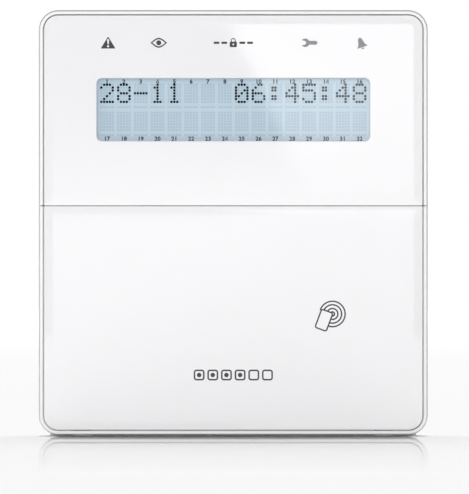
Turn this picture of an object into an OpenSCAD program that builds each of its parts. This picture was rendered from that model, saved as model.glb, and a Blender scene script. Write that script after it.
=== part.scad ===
// Alarm keypad panel: a wall-mounted case with a display and four status symbols behind a glossy
// face sheet, and a flap over the keys that is hinged along the bottom edge.
// The wall is the plane y = 0, the front faces -Y and +Z is up. Every sub-part is drawn in the
// face frame: local x and y run along the wall, and local z is the distance out from the wall.

/* [Case] */
// Width of the case
case_w = 125.4; // [123:0.2:130]
// Height of the case
case_h = 137; // [136:0.5:142]
// Distance from the wall to the glossy faces
case_d = 22; // [22:0.5:24]
// Radius of the case's four corners
corner_r = 6.3; // [5:0.1:7]
// Wall thickness of the mouldings
wall_t = 2; // [1.8:0.1:2.2]
// Width of the plain rim round the glossy faces
rim_w = 1.4; // [1:0.1:1.8]
// Gap between the rim and a glossy face sheet
sheet_gap = 0.35; // [0.2:0.05:0.5]
// Height of the seam between face and flap, above the middle
seam_y = 5.4; // [5:0.1:6]

/* [Display] */
// Width of the display window
window_w = 88.4; // [84:0.2:90]
// Height of the display window
window_h = 20.7; // [19:0.1:22]
// Height of the window's middle above the case's middle
window_y = 36.4; // [36:0.1:37]
// Height of the row of status symbols
symbol_y = 57.9; // [57.5:0.1:58.5]
// Places of the four status symbols across the case
symbol_xs = [-40.4, -24, 24.6, 41.2];

/* [Keys] */
// Width of a key cap
key_w = 19.6; // [17:0.2:20]
// Height of a key cap
key_h = 9.8; // [8:0.2:10]
// Distance between key columns
key_pitch_x = 24; // [23.8:0.1:24.2]
// Distance between key rows
key_pitch_y = 14.2; // [14:0.1:14.4]
// Height of the top row of keys
key_top_y = -6.6; // [-7:0.1:-6]
// Travel of a key
key_travel = 1; // [0.6:0.1:1]

/* [Flap] */
// Radius of the hinge pins
pin_r = 0.8; // [0.7:0.05:0.85]
// Running clearance round the hinge pins
pin_play = 0.05; // [0.02:0.01:0.08]
// Distance of the hinge axis from the flap's front face and from its bottom edge
barrel_r = 2.8; // [2.7:0.05:2.9]
// Gap along the seam and between flap and case
flap_gap = 0.3; // [0.3:0.05:0.4]

/* [Wall fixing] */
// Distance across between the corner screw holes
fix_x = 84; // [80:1:88]
// Distance up between the corner screw holes
fix_y = 104; // [100:1:106]
// Distance between the two flush-box screw holes
box_x = 60; // [58:1:62]
// Radius of the wall screw holes
fix_r = 2.25; // [2:0.05:2.5]
// Width of the cable entry
entry_w = 34; // [30:1:36]
// Height of the cable entry
entry_h = 20; // [16:1:20]

/* [Hidden] */
$fn = 48;
EPS = 0.5; // how far a cutter runs past the face it opens

// Levels, as distances from the wall
plate_z = 2.2; // inside face of the back plate
lip_z = 5.5; // front of the back plate's lip
case_back_z = 1.2; // back edge of the case's walls
board_z = 9.6; // back face of the main board
board_t = 1.6;
board_front_z = board_z + board_t;
mat_t = 0.8;
dome_h = 1.7;
flange_t = 1;
flange_w = 1; // how far a key's flange stands out behind the deck
key_r = 1.5;
key_play = 0.3; // gap round a key in the deck
deck_t = 1.8;
face_wall_t = 1.8;
sheet_t = 1.5; // upper glossy face sheet
flap_sheet_t = 1; // glossy sheet on the flap
edge_r = 1.2; // rounding of the flap's bottom front edge
mat_front_z = board_front_z + mat_t;
flange_z = mat_front_z + dome_h;
deck_back_z = flange_z + flange_t + 0.1;
deck_z = deck_back_z + deck_t;
sheet_z = case_d - sheet_t;
face_back_z = sheet_z - face_wall_t;
key_front_z = deck_z + 1.8;
flap_back_z = deck_z + flap_gap;
flap_skin_z = case_d - flap_sheet_t - 1.2;
hinge_z = case_d - barrel_r;

// Places in the face frame
top_edge = case_h / 2;
side_edge = case_w / 2;
hinge_y = barrel_r - top_edge;
seam_low = seam_y - flap_gap / 2;
seam_high = seam_y + flap_gap / 2;
lug_x0 = 46;
lug_x1 = 51;
lug_gap = 0.4;
sweep_r = 3.9; // clearance that the turning flap needs
groove_wall_t = 1.4;
lug_r = 1.6;
window_r = 1.9;
window_ledge = 1; // how far the case's opening stands back from the window
display_w = 98;
display_h = 30;
entry_y = -24;
box_y = 8;
hook_xs = [-30, 30]; // hooks of the back plate behind the top wall

// Board fixings: x, y and the level that each pilot hole reaches
upper_posts = [[-50, 58.5], [50, 58.5], [-53, 11], [53, 11]];
lower_posts = [[-53.5, -53], [53.5, -53]];
post_r = 2.8;
thread_r = 1.15;

KEYS = [
    ["key_1", 0, 0], ["key_2", 1, 0], ["key_3", 2, 0], ["key_up", 3, 0],
    ["key_4", 0, 1], ["key_5", 1, 1], ["key_6", 2, 1], ["key_down", 3, 1],
    ["key_7", 0, 2], ["key_8", 1, 2], ["key_9", 2, 2], ["key_left", 3, 2],
    ["key_star", 0, 3], ["key_0", 1, 3], ["key_hash", 2, 3], ["key_right", 3, 3]
];

function key_x(k) = (k[1] - 1.5) * key_pitch_x;
function key_y(k) = key_top_y - k[2] * key_pitch_y;

// ---- Shared shapes ----

// Turns the face frame into the part's frame
module face_frame() {
    rotate([90, 0, 0]) children();
}

// Extrudes an outline from one level to another
module layer(z0, z1) {
    translate([0, 0, z0]) linear_extrude(z1 - z0) children();
}

// Rectangle with round corners, centred
module round_rect(w, h, r) {
    square([w - 2 * r, h], center = true);
    square([w, h - 2 * r], center = true);
    for (x = [-1, 1], y = [-1, 1])
        translate([x * (w / 2 - r), y * (h / 2 - r)]) circle(r);
}

// The case's outline, set in by a distance
module outline(inset) {
    round_rect(case_w - 2 * inset, case_h - 2 * inset, corner_r - inset);
}

// The part of an outline above a height
module above(y) {
    intersection() {
        children();
        translate([-case_w, y]) square([2 * case_w, case_h]);
    }
}

// The part of an outline below a height
module below(y) {
    intersection() {
        children();
        translate([-case_w, y - 2 * case_h]) square([2 * case_w, 2 * case_h]);
    }
}

// Block from its low corner to its high corner
module block(low, high) {
    translate(low) cube(high - low);
}

// Upright rod at (x, y) between two levels
module rod(x, y, r, z0, z1) {
    translate([x, y, z0]) cylinder(r = r, h = z1 - z0);
}

// Rod along x at the hinge axis
module hinge_rod(r, x0, x1) {
    translate([x0, hinge_y, hinge_z]) rotate([0, 90, 0]) cylinder(r = r, h = x1 - x0);
}

// ---- Case ----

case_screw_z = 6;
case_screw_r = 1.5;
screw_seat = 1; // depth of the screw's bore in the back plate's foot, from the case's edge

module back_plate() {
    tongue = wall_t + 0.25;
    lip_t = 1.4;
    plate_boss_z = 3.4;
    color("whitesmoke") face_frame() difference() {
        union() {
            layer(0, 1) outline(0.4);
            layer(1, plate_z) outline(tongue);
            layer(plate_z, lip_z) difference() {
                outline(tongue);
                outline(tongue + lip_t);
            }
            for (x = hook_xs) {
                block([x - 4, top_edge - 3.9, plate_z], [x + 4, top_edge - 2.25, 8]);
                block([x - 4, top_edge - 2.5, 6.6], [x + 4, top_edge - 1.3, 8]);
            }
            block([-5, -66.2, plate_z], [5, -58.5, 9]);
            for (x = [-fix_x / 2, fix_x / 2], y = [-fix_y / 2, fix_y / 2])
                rod(x, y, fix_r + 1.6, plate_z, plate_boss_z);
        }
        translate([0, screw_seat - top_edge, case_screw_z])
            rotate([-90, 0, 0]) cylinder(r = case_screw_r, h = 7.6);
        for (x = [-fix_x / 2, fix_x / 2], y = [-fix_y / 2, fix_y / 2])
            rod(x, y, fix_r, -EPS, plate_boss_z + EPS);
        for (x = [-box_x / 2, box_x / 2]) rod(x, box_y, fix_r, -EPS, plate_z + EPS);
        layer(-EPS, plate_z + EPS) translate([0, entry_y]) round_rect(entry_w, entry_h, 3);
        rod(plunger_x, plunger_y, plunger_r + 0.4, -EPS, plate_z + EPS);
    }
}

// Posts that hold the main board, as far as their tops
module posts() {
    for (p = upper_posts) rod(p[0], p[1], post_r, board_front_z, face_back_z + EPS);
    for (p = lower_posts) rod(p[0], p[1], post_r, board_front_z, deck_back_z + EPS);
}

module pilot_holes() {
    for (p = upper_posts) rod(p[0], p[1], thread_r, board_front_z - EPS, 17.5);
    for (p = lower_posts) rod(p[0], p[1], thread_r, board_front_z - EPS, 15.6);
}

// Ears that carry the hinge pins, each on a neck from the case's front
module hinge_lugs() {
    for (side = [-1, 1]) {
        x0 = side > 0 ? lug_x0 : -lug_x1;
        hinge_rod(lug_r, x0, x0 + lug_x1 - lug_x0);
        block([x0, hinge_y - 1, hinge_z - sweep_r - 1],
              [x0 + lug_x1 - lug_x0, hinge_y + lug_r, hinge_z]);
    }
}

module front_housing() {
    slot_count = 6;
    slot_pitch = 3.4;
    slot_w = 1.2;
    slot_y0 = -40;
    color("white") face_frame() difference() {
        union() {
            difference() {
                union() {
                    layer(case_back_z, case_d) above(seam_high) outline(0);
                    layer(case_back_z, deck_z) outline(0);
                }
                // hollow behind the upper face and behind the key deck
                layer(case_back_z - EPS, face_back_z) above(seam_high + wall_t) outline(wall_t);
                layer(case_back_z - EPS, deck_back_z) outline(wall_t);
                // pocket for the glossy sheet
                layer(sheet_z, case_d + EPS) above(seam_high - EPS) outline(rim_w);
            }
            posts();
            intersection() {
                hinge_rod(sweep_r + groove_wall_t, -side_edge, side_edge);
                layer(case_back_z, deck_z) outline(0);
            }
        }
        pilot_holes();
        hinge_rod(sweep_r, -case_w, case_w);
        // display opening, a little larger than the window
        layer(face_back_z - EPS, sheet_z + EPS)
            translate([0, window_y])
                round_rect(window_w + 2 * window_ledge, window_h + 2 * window_ledge, 1.5);
        for (x = symbol_xs) rod(x, symbol_y, 3.1, face_back_z - EPS, sheet_z + EPS);
        layer(deck_back_z - EPS, deck_z + EPS)
            for (k = KEYS)
                translate([key_x(k), key_y(k)])
                    round_rect(key_w + 2 * key_play, key_h + 2 * key_play, key_r + key_play);
        // pockets for the back plate's hooks
        for (x = hook_xs)
            block([x - 4.3, top_edge - 2.3, 6.3], [x + 4.3, top_edge - 1.1, 8.3]);
        // case screw: clearance hole and the seat of its head
        translate([0, -top_edge - EPS, case_screw_z]) rotate([-90, 0, 0]) {
            cylinder(r = 1.7, h = 4);
            cylinder(r = 3.1, h = EPS + 1.2);
        }
        // sound slots through the left wall
        for (i = [0 : slot_count - 1]) {
            y = slot_y0 + i * slot_pitch;
            block([-side_edge - EPS, y, 7.5], [wall_t + EPS - side_edge, y + slot_w, 13]);
        }
    }
    color("white") face_frame() difference() {
        hinge_lugs();
        hinge_rod(pin_r, -case_w, case_w);
    }
}

module upper_fascia() {
    color("white") face_frame() difference() {
        layer(sheet_z, case_d) above(seam_high) outline(rim_w + sheet_gap);
        layer(sheet_z - EPS, case_d + EPS)
            translate([0, window_y]) round_rect(window_w, window_h, window_r);
    }
}

module lcd_window() {
    color("lightsteelblue", 0.4) face_frame()
        layer(sheet_z, case_d)
            translate([0, window_y]) round_rect(window_w, window_h, window_r);
}

module light_guides() {
    color("ghostwhite") face_frame() {
        for (x = symbol_xs) rod(x, symbol_y, 2.9, 12.9, sheet_z);
        for (side = [-1, 1]) {
            inner = side < 0 ? symbol_xs[1] : symbol_xs[2];
            outer = side < 0 ? symbol_xs[0] : symbol_xs[3];
            block([min(inner, outer), symbol_y - 1.2, 14],
                  [max(inner, outer), symbol_y + 1.2, 15.4]);
        }
    }
}

// ---- Display ----

lcd_board_z = 12.4;
lcd_board_t = 1.2;
backlight_z = 14.1;
glass_z = 16;
glass_t = 1.8;
bezel_z = lcd_board_z + lcd_board_t;
bezel_front_z = glass_z + glass_t + 0.4;
pin_count = 16;
pin_pitch = 2.54;
lcd_pins_y = 21;

module lcd_glass() {
    color("lightblue") face_frame()
        layer(glass_z, glass_z + glass_t) translate([0, window_y]) square([95, 27], center = true);
}

module lcd_bezel() {
    color("dimgray") face_frame() translate([0, window_y]) {
        layer(bezel_z, bezel_front_z - 0.4) difference() {
            square([display_w, display_h], center = true);
            square([display_w - 1, display_h - 1], center = true);
        }
        layer(bezel_front_z - 0.4, bezel_front_z) difference() {
            square([display_w, display_h], center = true);
            square([window_w + 3, window_h + 3], center = true);
        }
    }
}

module lcd_backlight() {
    color("white") face_frame()
        layer(backlight_z, glass_z) translate([0, window_y]) square([94, 26], center = true);
}

module lcd_board() {
    color("seagreen") face_frame() difference() {
        layer(lcd_board_z, lcd_board_z + lcd_board_t)
            translate([0, window_y]) square([104, 34], center = true);
        for (i = [0 : pin_count - 1])
            rod((i - (pin_count - 1) / 2) * pin_pitch, lcd_pins_y, 0.5, 12, 14);
    }
}

module lcd_header() {
    strip_w = pin_count * pin_pitch;
    color("black") face_frame()
        block([-strip_w / 2, lcd_pins_y - 1.25, board_front_z],
              [strip_w / 2, lcd_pins_y + 1.25, lcd_board_z]);
    color("gold") face_frame()
        for (i = [0 : pin_count - 1])
            rod((i - (pin_count - 1) / 2) * pin_pitch, lcd_pins_y, 0.4, lcd_board_z, 14);
}

module lcd_gasket() {
    color("darkslategray") face_frame() layer(bezel_front_z, face_back_z) translate([0, window_y])
        difference() {
            square([display_w - 2, display_h - 2], center = true);
            square([window_w + 3.4, window_h + 3.4], center = true);
        }
}

// ---- Electronics ----

module main_board() {
    color("darkgreen") face_frame() difference() {
        layer(board_z, board_front_z) translate([0, 2]) round_rect(116, 122, 2);
        for (p = concat(upper_posts, lower_posts))
            rod(p[0], p[1], 1.5, board_z - EPS, board_front_z + EPS);
    }
}

module status_leds() {
    color("ivory") face_frame()
        for (x = symbol_xs)
            block([x - 1.75, symbol_y - 1.4, board_front_z],
                  [x + 1.75, symbol_y + 1.4, board_front_z + 1.4]);
}

led_cols = [-1, 0, 1];
led_rows = [0, 1, 2];

function led_x(c) = c * key_pitch_x;
function led_y(r) = key_top_y - (r + 0.5) * key_pitch_y;

module key_leds() {
    color("ivory") face_frame()
        for (c = led_cols, r = led_rows)
            translate([led_x(c) - 1, led_y(r) - 0.65, board_front_z]) cube([2, 1.3, 0.7]);
}

module sounder() {
    back_z = 4.4;
    color("black") face_frame() translate([-34, -30]) difference() {
        rod(0, 0, 11, back_z, board_z);
        rod(0, 0, 1.5, back_z - EPS, 6);
    }
}

module reader_coil() {
    back_z = 7.8;
    color("peru") face_frame() translate([31.9, -29.5]) difference() {
        rod(0, 0, 13.5, back_z, board_z);
        rod(0, 0, 10.5, back_z - EPS, board_z + EPS);
    }
}

terminal_count = 4;
terminal_pitch = 5;
terminal_y0 = -47;
terminal_y1 = -38.5;
terminal_screw_y = -43.5;
terminal_back_z = 2.8;

function terminal_x(i) = (i - (terminal_count - 1) / 2) * terminal_pitch;

module terminal_block() {
    half_w = terminal_count * terminal_pitch / 2 + 0.4;
    color("green") face_frame() difference() {
        block([-half_w, terminal_y0, terminal_back_z], [half_w, terminal_y1, board_z]);
        for (i = [0 : terminal_count - 1]) {
            x = terminal_x(i);
            rod(x, terminal_screw_y, 1.9, terminal_back_z - EPS, 7);
            block([x - 1.6, terminal_y1 - 2.4, 5.2], [x + 1.6, terminal_y1 + EPS, 8.6]);
        }
    }
}

module terminal_screws() {
    color("silver") face_frame()
        for (i = [0 : terminal_count - 1]) {
            x = terminal_x(i);
            y = terminal_screw_y;
            difference() {
                rod(x, y, 1.8, 4, 7);
                block([x - 2, y - 0.3, 3.5], [x + 2, y + 0.3, 4.7]);
            }
        }
}

module program_header() {
    strip_z = 7.1;
    pin_back_z = 3.2;
    pin_w = 0.6;
    color("black") face_frame() block([28, 26, strip_z], [35.6, 31.1, board_z]);
    color("gold") face_frame()
        for (i = [0 : 2], j = [0 : 1])
            translate([29 + i * pin_pitch, 27 + j * pin_pitch, pin_back_z])
                cube([pin_w, pin_w, strip_z - pin_back_z]);
}

module controller_chip() {
    color("black") face_frame() block([4, 14, 8.2], [16, 26, board_z]);
}

module reader_chip() {
    color("black") face_frame() block([27, -6, 8.5], [34, 1, board_z]);
}

module capacitors() {
    color("silver") face_frame()
        for (p = [[-20, 32], [-29, 32], [-20, 22]]) rod(p[0], p[1], 3.15, 3.8, board_z);
}

module supply_inductor() {
    color("dimgray") face_frame() {
        rod(-33, 20, 4, 6.6, 8.4);
        block([-37, 16, 8.4], [-29, 24, board_z]);
    }
}

// ---- Keys ----

dome_r = 3.2;

module keypad_mat() {
    color("lightgray") face_frame() {
        difference() {
            layer(board_front_z, mat_front_z) translate([0, -27.9]) round_rect(98, 58, 2);
            for (c = led_cols, r = led_rows)
                rod(led_x(c), led_y(r), 1.5, board_front_z - EPS, mat_front_z + EPS);
        }
        for (k = KEYS) rod(key_x(k), key_y(k), dome_r, mat_front_z, flange_z);
    }
}

module key(k) {
    color("whitesmoke") face_frame() translate([key_x(k), key_y(k)]) {
        layer(flange_z, flange_z + flange_t)
            round_rect(key_w + 2 * flange_w, key_h + 2 * flange_w, key_r + key_play);
        layer(flange_z + flange_t, key_front_z) round_rect(key_w, key_h, key_r);
    }
}

// ---- Wall tamper ----

plunger_x = 36;
plunger_y = 44;
plunger_r = 1.6;
plunger_travel = 1.8;
collar_z = 2.4;

module tamper_switch() {
    color("black") face_frame() difference() {
        block([plunger_x - 4.5, plunger_y - 4.5, 6.6], [plunger_x + 4.5, plunger_y + 4.5, board_z]);
        rod(plunger_x, plunger_y, plunger_r + 0.05, 6.6 - EPS, 9.1);
    }
}

module tamper_plunger() {
    color("white") face_frame() {
        rod(plunger_x, plunger_y, plunger_r, -plunger_travel, 7);
        rod(plunger_x, plunger_y, 3, collar_z, collar_z + 0.8);
    }
}

module tamper_spring() {
    color("silver") face_frame() difference() {
        rod(plunger_x, plunger_y, 2.6, collar_z + 0.8, 6.6);
        rod(plunger_x, plunger_y, 2.1, collar_z, 7);
    }
}

// ---- Fasteners and hinge ----

module screw(x, y, tip_z) {
    difference() {
        union() {
            rod(x, y, 2.3, board_z - 1.6, board_z);
            rod(x, y, thread_r, board_z, tip_z);
        }
        block([x - 1.4, y - 0.3, board_z - 2], [x + 1.4, y + 0.3, board_z - 0.8]);
        block([x - 0.3, y - 1.4, board_z - 2], [x + 0.3, y + 1.4, board_z - 0.8]);
    }
}

module board_screws() {
    color("silver") face_frame() {
        for (p = upper_posts) screw(p[0], p[1], 16.5);
        for (p = lower_posts) screw(p[0], p[1], 15);
    }
}

module case_screw() {
    head_r = 2.9;
    head_t = 1.1;
    slot_l = 3.4;
    slot_t = 0.7;
    color("silver") face_frame() translate([0, 0.1 - top_edge, case_screw_z])
        rotate([-90, 0, 0]) difference() {
            union() {
                cylinder(r = head_r, h = head_t);
                cylinder(r = case_screw_r, h = 8.4);
            }
            for (turn = [0, 90])
                rotate(turn) translate([-slot_l / 2, -slot_t / 2, -EPS]) cube([slot_l, slot_t, EPS + 0.7]);
        }
}

module hinge_pins() {
    color("silver") face_frame()
        for (x0 = [-57, 42]) hinge_rod(pin_r, x0, x0 + 15);
}

// ---- Flap ----

module flap_panel() {
    hollow_low = hinge_y + barrel_r + 1.4;
    color("white") face_frame() difference() {
        intersection() {
            layer(0, case_d) below(seam_low) outline(0);
            union() {
                layer(flap_back_z, case_d) square([2 * case_w, 2 * case_h], center = true);
                hinge_rod(barrel_r, -side_edge, side_edge);
            }
        }
        // hollow over the keys
        block([wall_t - side_edge, hollow_low, flap_back_z - EPS],
              [side_edge - wall_t, seam_low - 1.6, flap_skin_z]);
        // pocket for the glossy sheet
        layer(case_d - flap_sheet_t, case_d + EPS) below(seam_low + EPS) outline(rim_w);
        // notches for the case's hinge ears
        for (side = [-1, 1]) {
            x0 = (side > 0 ? lug_x0 : -lug_x1) - lug_gap;
            block([x0, -top_edge - EPS, hinge_z - 4],
                  [x0 + lug_x1 - lug_x0 + 2 * lug_gap, hollow_low + EPS, case_d - flap_sheet_t]);
        }
        // rounding of the bottom front edge, so that the edge clears the case as the flap turns
        difference() {
            block([-case_w, -top_edge - EPS, case_d - edge_r], [case_w, edge_r - top_edge, case_d + EPS]);
            translate([-case_w, edge_r - top_edge, case_d - edge_r])
                rotate([0, 90, 0]) cylinder(r = edge_r, h = 2 * case_w);
        }
        // bores for the hinge pins
        for (x0 = [-58, 41]) hinge_rod(pin_r + pin_play, x0, x0 + 17);
    }
}

module flap_fascia() {
    color("white") face_frame()
        layer(case_d - flap_sheet_t, case_d) below(seam_low) outline(rim_w + sheet_gap);
}

back_plate();
front_housing();
upper_fascia();
lcd_window();
light_guides();
lcd_glass();
lcd_bezel();
lcd_backlight();
lcd_board();
lcd_header();
lcd_gasket();
main_board();
status_leds();
key_leds();
sounder();
reader_coil();
terminal_block();
terminal_screws();
program_header();
controller_chip();
reader_chip();
capacitors();
supply_inductor();
keypad_mat();
tamper_switch();
tamper_plunger();
tamper_spring();
board_screws();
case_screw();
hinge_pins();
flap_panel();
flap_fascia();
for (k = KEYS) key(k);
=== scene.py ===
"""Looks of the alarm keypad panel: a white case with a display, four status symbols and a flap over
the keys.

Everything is drawn in the face frame, in millimetres: x and y run along the wall and d is the
distance out from the wall. FACE turns the face frame into the part's frame, in metres.
"""

import math

import bmesh
import bpy
from mathutils import Matrix, Vector


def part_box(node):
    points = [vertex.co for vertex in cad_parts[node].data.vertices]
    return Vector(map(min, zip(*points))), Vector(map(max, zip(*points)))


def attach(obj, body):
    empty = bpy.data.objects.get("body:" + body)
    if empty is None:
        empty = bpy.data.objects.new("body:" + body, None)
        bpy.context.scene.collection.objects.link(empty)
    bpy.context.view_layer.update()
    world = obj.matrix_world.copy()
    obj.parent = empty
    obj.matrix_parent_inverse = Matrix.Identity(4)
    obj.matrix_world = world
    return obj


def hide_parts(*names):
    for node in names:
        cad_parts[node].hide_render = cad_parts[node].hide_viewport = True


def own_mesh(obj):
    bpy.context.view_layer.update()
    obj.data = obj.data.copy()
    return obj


MM = 0.001
FACE = Matrix(((MM, 0, 0, 0), (0, 0, -MM, 0), (0, MM, 0, 0), (0, 0, 0, 1)))

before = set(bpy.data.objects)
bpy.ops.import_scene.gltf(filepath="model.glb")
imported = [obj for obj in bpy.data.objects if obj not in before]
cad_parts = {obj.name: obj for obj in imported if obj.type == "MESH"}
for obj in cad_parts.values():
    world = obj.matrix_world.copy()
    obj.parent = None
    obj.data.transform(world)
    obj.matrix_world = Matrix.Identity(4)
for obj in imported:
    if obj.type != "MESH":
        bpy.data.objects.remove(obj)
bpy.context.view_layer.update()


def face_box(node):
    """Low and high corner of a CAD node in the face frame: (x, y, d), in millimetres."""
    low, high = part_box(node)
    return (low.x / MM, low.z / MM, -high.y / MM), (high.x / MM, high.z / MM, -low.y / MM)


def middle(node):
    """Middle of a CAD node in the face frame."""
    low, high = face_box(node)
    return [(a + b) / 2 for a, b in zip(low, high)]


def span(node):
    """Width and height of a CAD node on the face."""
    low, high = face_box(node)
    return high[0] - low[0], high[1] - low[1]


# ---- Sizes: levels count outwards from the wall ----

CASE_LOW, CASE_HIGH = face_box("front_housing")
SIDE, TOP, FRONT = CASE_HIGH
CASE_BACK = CASE_LOW[2]
CORNER_R = 6.3
WALL = 2.0
RIM = 1.4
FRONT_R = 0.4  # rounding of the front edge
LEAN = 0.42  # how far the case's wall leans in towards its front edge
LEAN_D = 4.6  # depth over which it leans
MOUTH = 0.25  # slope on the rim's inner edge
SHEET_LOW, SHEET_HIGH = face_box("upper_fascia")
SHEET_INSET = SIDE - SHEET_HIGH[0]
SEAM_HIGH, SHEET_BACK = SHEET_LOW[1:]
SEAM_LOW = face_box("flap_panel")[1][1]
FLAP_SHEET_BACK = face_box("flap_fascia")[0][2]
FLAP_BACK = 16.9
FLAP_SKIN = 19.8  # back of the flap's front wall
DECK_BACK = 14.8
DECK = 16.6
FACE_BACK = 18.7  # back of the upper half's front wall
HINGE_Y, HINGE_D = middle("hinge_pins")[1:]
BARREL_R = TOP + HINGE_Y
SWEEP_R = 3.9  # groove in which the barrel turns
PRINT = 0.02  # thickness of the printed marks
SKIN = FRONT - 0.03  # front of the glossy sheets, so that the marks end at the case's front

WINDOW_W, WINDOW_H = span("lcd_window")
WINDOW_Y = middle("lcd_window")[1]
WINDOW_R = 1.9
SYMBOL_Y = middle("light_guides")[1]
SYMBOL_XS = (-40.4, -24, 24.6, 41.2)  # warning, eye, wrench and bell
KEYS = (  # row by row
    "key_1", "key_2", "key_3", "key_up",
    "key_4", "key_5", "key_6", "key_down",
    "key_7", "key_8", "key_9", "key_left",
    "key_star", "key_0", "key_hash", "key_right",
)


# ---- Camera ----

CAMERA_DISTANCE = 3.0
CAMERA_X = 0.00039
CAMERA_Z = -0.00787
PICTURE_HEIGHT = 0.1591
SENSOR = 36


def shown(name, data):
    """A new object of the scene."""
    obj = bpy.data.objects.new(name, data)
    bpy.context.scene.collection.objects.link(obj)
    return obj


def add_camera():
    """Camera straight in front of the panel, far away, as with a long lens."""
    camera = bpy.data.cameras.new("camera")
    camera.sensor_width = SENSOR
    camera.lens = SENSOR * CAMERA_DISTANCE / PICTURE_HEIGHT
    camera.clip_start = 0.05
    camera.clip_end = 50
    obj = shown("camera", camera)
    obj.location = (CAMERA_X, -FRONT * MM - CAMERA_DISTANCE, CAMERA_Z)
    obj.rotation_euler = (math.pi / 2, 0, 0)
    bpy.context.scene.camera = obj


add_camera()


# ---- Node materials ----


def supply(links, socket, value):
    """Links a value to a socket, or sets the socket to it."""
    if isinstance(value, bpy.types.NodeSocket):
        links.new(value, socket)
    else:
        socket.default_value = value


def tones(colour, spread):
    """A slightly darker and a slightly lighter tone of a colour."""
    return [[min(c * (1 + k), 1) for c in colour] for k in (-spread, spread)]


class Surface:
    """A material under construction: its nodes, and short ways to add and join them."""

    def __init__(self, name):
        self.material = bpy.data.materials.new(name)
        self.material.use_nodes = True
        self.nodes = self.material.node_tree.nodes
        self.links = self.material.node_tree.links
        self.nodes.clear()
        self.output = self.nodes.new("ShaderNodeOutputMaterial")
        self.place = self.nodes.new("ShaderNodeTexCoord").outputs["Object"]

    def add(self, kind, **settings):
        """Adds a node and sets its properties."""
        node = self.nodes.new(kind)
        for name, value in settings.items():
            setattr(node, name, value)
        return node

    def feed(self, node, **inputs):
        """Sets or links a node's inputs, by name with _ for a space."""
        for name, value in inputs.items():
            supply(self.links, node.inputs[name.replace("_", " ")], value)
        return node

    def noise(self, size, detail=2.0, stretch=(1, 1, 1)):
        """Noise whose blotches are about size millimetres across."""
        mapping = self.feed(self.add("ShaderNodeMapping"), Vector=self.place, Scale=stretch)
        node = self.add("ShaderNodeTexNoise")
        self.feed(node, Vector=mapping.outputs[0], Scale=1 / (size * MM), Detail=detail)
        return node.outputs[0]

    def spread(self, value, low, high, start=0.3, end=0.7, kind="LINEAR"):
        """Maps a value that runs from start to end onto low to high."""
        node = self.add("ShaderNodeMapRange", interpolation_type=kind)
        self.feed(node, Value=value, From_Min=start, From_Max=end, To_Min=low, To_Max=high)
        return node.outputs[0]

    def blend(self, factor, first, second):
        """Mixes two colours."""
        node = self.add("ShaderNodeMix", data_type="RGBA")
        sockets = (node.inputs[0], node.inputs[6], node.inputs[7])
        for socket, value in zip(sockets, (factor, first, second)):
            plain = isinstance(value, (int, float, bpy.types.NodeSocket))
            supply(self.links, socket, value if plain else (*value[:3], 1))
        return node.outputs[2]

    def mottled(self, colour, spread, size, detail):
        """A colour whose tone wanders a little, in blotches."""
        return self.blend(self.spread(self.noise(size, detail), 0, 1), *tones(colour, spread))

    def math(self, operation, first, second=0.0):
        """A Math node."""
        node = self.add("ShaderNodeMath", operation=operation)
        for socket, value in zip(node.inputs, (first, second)):
            supply(self.links, socket, value)
        return node.outputs[0]

    def times(self, first, second):
        """Two values multiplied."""
        return self.math("MULTIPLY", first, second)

    def edges(self):
        """Share of wear: 0 on flat surfaces and 1 on convex edges."""
        return self.spread(self.add("ShaderNodeNewGeometry").outputs["Pointiness"], 0, 1, 0.52, 0.62)

    def bump(self, height, depth):
        """Bump whose height runs over depth millimetres."""
        node = self.feed(self.add("ShaderNodeBump"), Height=height, Distance=depth * MM, Strength=1)
        return node.outputs[0]

    def shader(self, kind="ShaderNodeBsdfPrincipled", **inputs):
        """The material with this shader as its surface."""
        node = self.feed(self.add(kind), **inputs)
        self.links.new(node.outputs[0], self.output.inputs[0])
        return self.material

    def mix(self, share, first, second):
        """The material with two shaders mixed as its surface, by the share of the second."""
        node = self.add("ShaderNodeMixShader")
        for socket, value in zip(node.inputs, (share, first.outputs[0], second.outputs[0])):
            self.links.new(value, socket)
        self.links.new(node.outputs[0], self.output.inputs[0])
        return self.material


def moulded(name, colour, roughness, tint=0.02, grain=0.35, depth=0.004, wear=0.35, uneven=0.1,
            **inputs):
    """Moulded plastic: mottled colour, uneven gloss, a fine grain and edges rubbed smooth."""
    s = Surface(name)
    base = s.mottled(colour, tint, 14, 3)
    worn = s.times(s.edges(), s.spread(s.noise(2.5, 3), 0, 1))
    colour = s.blend(s.times(worn, wear), base, [min(c * 1.12 + 0.01, 1) for c in colour])
    gloss = s.spread(s.noise(5, 4), roughness * (1 - uneven), roughness * (1 + uneven))
    rough = s.math("SUBTRACT", gloss, s.times(worn, roughness * wear))
    normal = s.bump(s.noise(grain, 2), depth)
    return s.shader(Base_Color=colour, Roughness=rough, Normal=normal, **inputs)


def metal(name, colour, roughness, brush=(1, 1, 1), depth=0.003, tarnish=0.1):
    """Bare metal: drawn or brushed marks, dull patches and edges rubbed bright."""
    s = Surface(name)
    base = s.mottled(colour, tarnish, 3, 4)
    marks = s.noise(0.6, 3, brush)
    rough = s.spread(marks, roughness * 0.75, roughness * 1.3)
    rough = s.math("SUBTRACT", rough, s.times(s.edges(), roughness * 0.4))
    return s.shader(Base_Color=base, Roughness=rough, Normal=s.bump(marks, depth), Metallic=1.0)


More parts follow.
